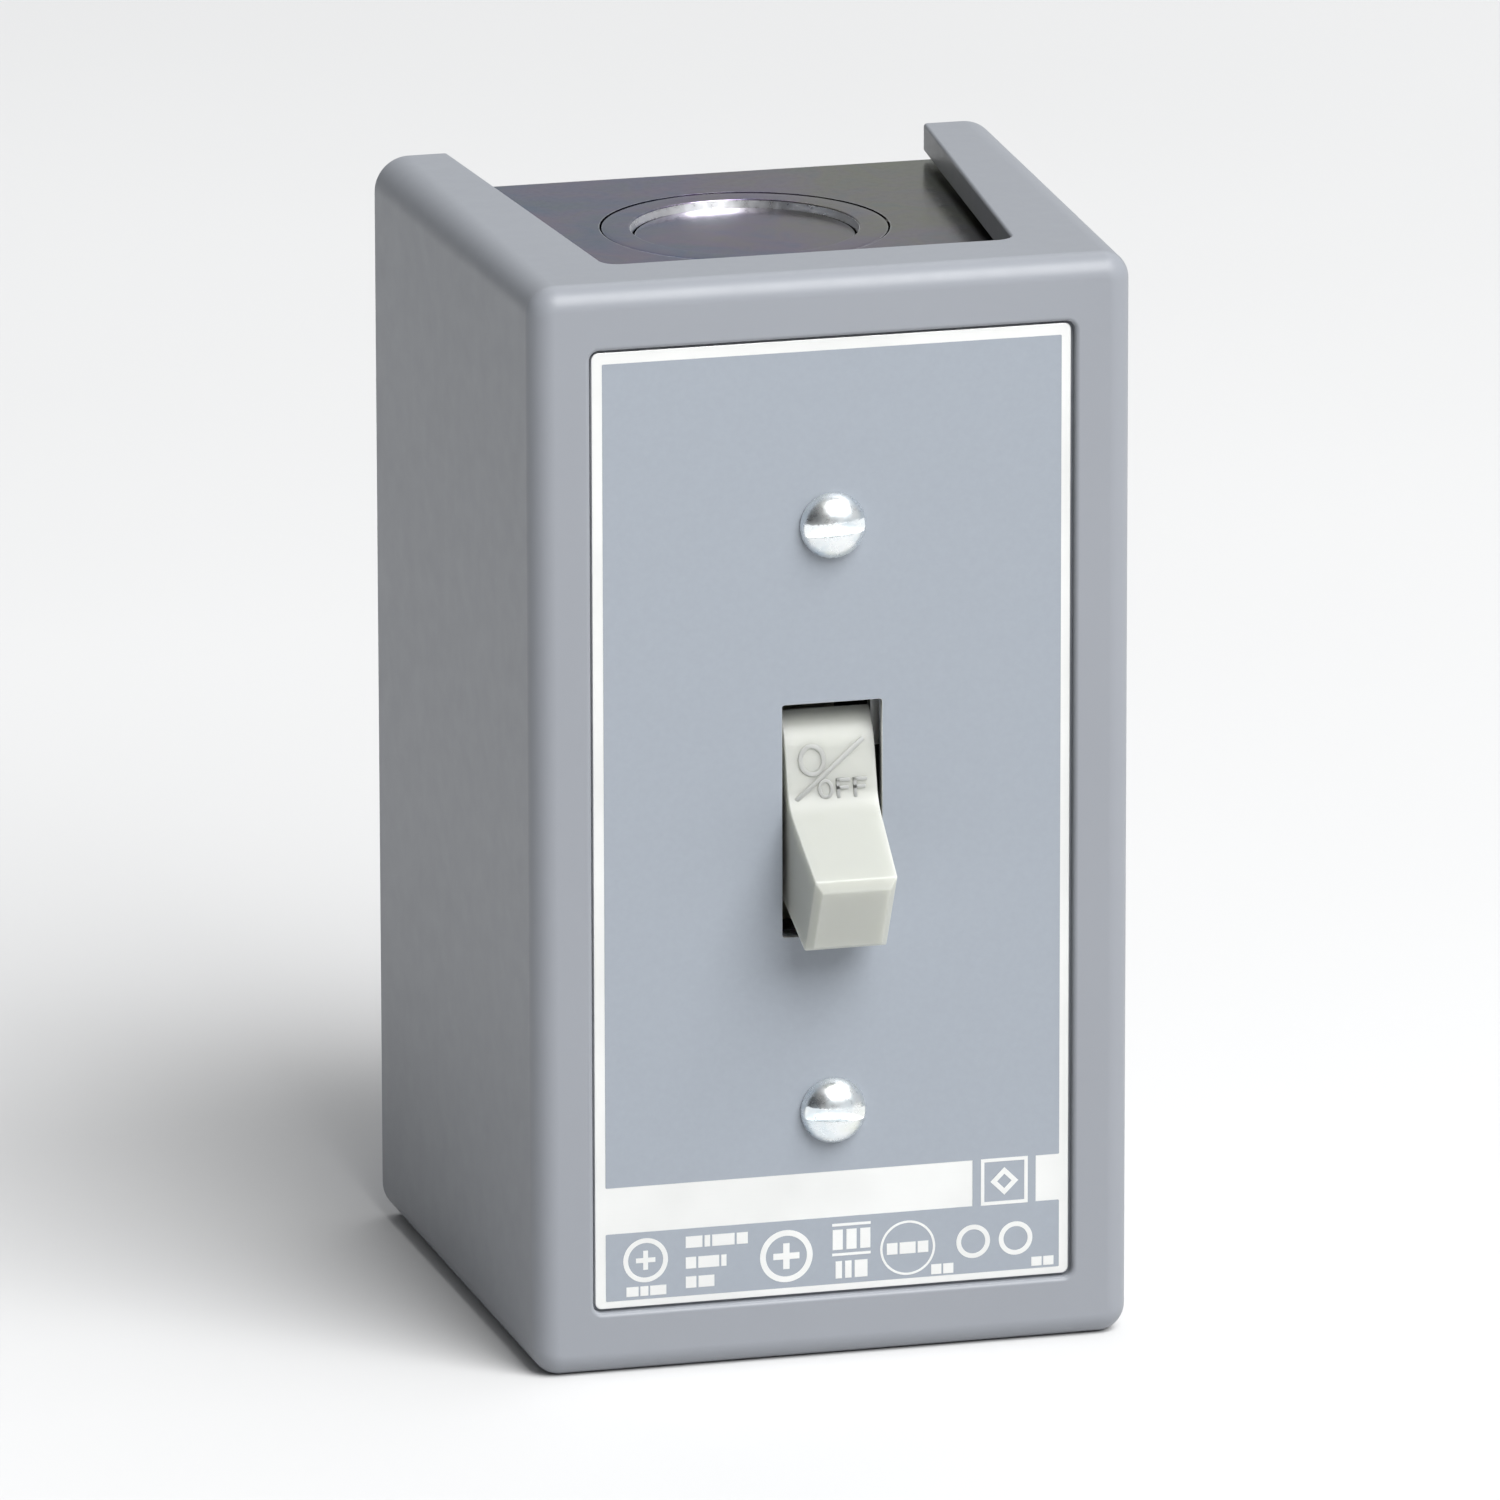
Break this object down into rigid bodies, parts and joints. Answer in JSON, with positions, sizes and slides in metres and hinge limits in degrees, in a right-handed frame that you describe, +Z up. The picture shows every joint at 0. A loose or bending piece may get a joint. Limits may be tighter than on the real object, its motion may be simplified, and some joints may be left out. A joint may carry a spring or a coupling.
{
  "type": "manual motor starting switch",
  "caption": "Toggle-operated manual motor starting switch in a moulded surface enclosure over a folded steel box, with conduit knockouts at top and bottom.",
  "frame": {"origin": "centre of the back plate's rear face, the face that lies on the wall", "axes": "+Z up, +X to the right seen from the front, and the front faces -Y; the toggle is OFF (down) at rest"},
  "size_m": [0.0652, 0.0681, 0.1118],
  "materials": {
    "cover_moulding": "satin, fine moulded texture",
    "nameplate_aluminium": "grey printed field on brushed aluminium",
    "zinc_plate": "bright zinc plate",
    "chromate_steel": "dark iridescent chromate on zinc",
    "ivory_moulding": "satin moulded",
    "black_phenolic": "moulded phenolic",
    "nylon": "natural moulded",
    "copper": "bright copper strip",
    "brass": "turned brass",
    "silver": "silver contact alloy",
    "spring_steel": "drawn spring steel",
    "green_screw": "green dyed plate"
  },
  "bodies": {
    "enclosure": {"cover": "cover_moulding", "nameplate": "nameplate_aluminium", "cover_screws": "zinc_plate", "back_box": "chromate_steel", "knockout_ring_top": "chromate_steel", "knockout_disc_top": "chromate_steel", "knockout_ring_bottom": "chromate_steel", "knockout_disc_bottom": "chromate_steel", "ground_screw": "green_screw", "mounting_strap": "zinc_plate", "strap_screws": "zinc_plate", "front_housing": "black_phenolic", "rear_housing": "black_phenolic", "housing_screws": "zinc_plate", "toggle_pin": "zinc_plate", "detent_spring": "spring_steel", "line_terminal_1": "copper", "line_terminal_2": "copper", "line_terminal_3": "copper", "load_terminal_1": "copper", "load_terminal_2": "copper", "load_terminal_3": "copper", "fixed_contact_tips": "silver", "wire_clamps": "brass", "terminal_screws": "brass"},
    "toggle": {"toggle_handle": "ivory_moulding"},
    "carrier": {"contact_carrier": "nylon", "contact_spring_1": "spring_steel", "contact_spring_2": "spring_steel", "contact_spring_3": "spring_steel"},
    "bridges": {"contact_bridge_1": "copper", "contact_bridge_2": "copper", "contact_bridge_3": "copper", "moving_contact_tips": "silver"}
  },
  "joints": [
    {"name": "toggle_throw", "type": "hinge", "parent": "enclosure", "child": "toggle", "pos_m": [0, -0.0507, 0], "axis": [-1, 0, 0], "range_deg": [0, 55]},
    {"name": "carrier_slide", "type": "slide", "parent": "enclosure", "child": "carrier", "axis": [0, 0, -1], "range_m": [0, 0.00646]},
    {"name": "bridge_lift", "type": "slide", "parent": "carrier", "child": "bridges", "axis": [0, 0, 1], "range_m": [0, 0.0011], "deforming": ["contact_spring_1", "contact_spring_2", "contact_spring_3"]}
  ],
  "couplings": [
    {"joint": "toggle_throw", "follows": "carrier_slide", "rad_per_m": 148.5},
    {"joint": "bridge_lift", "follows": "carrier_slide", "ratio": 0.17}
  ]
}
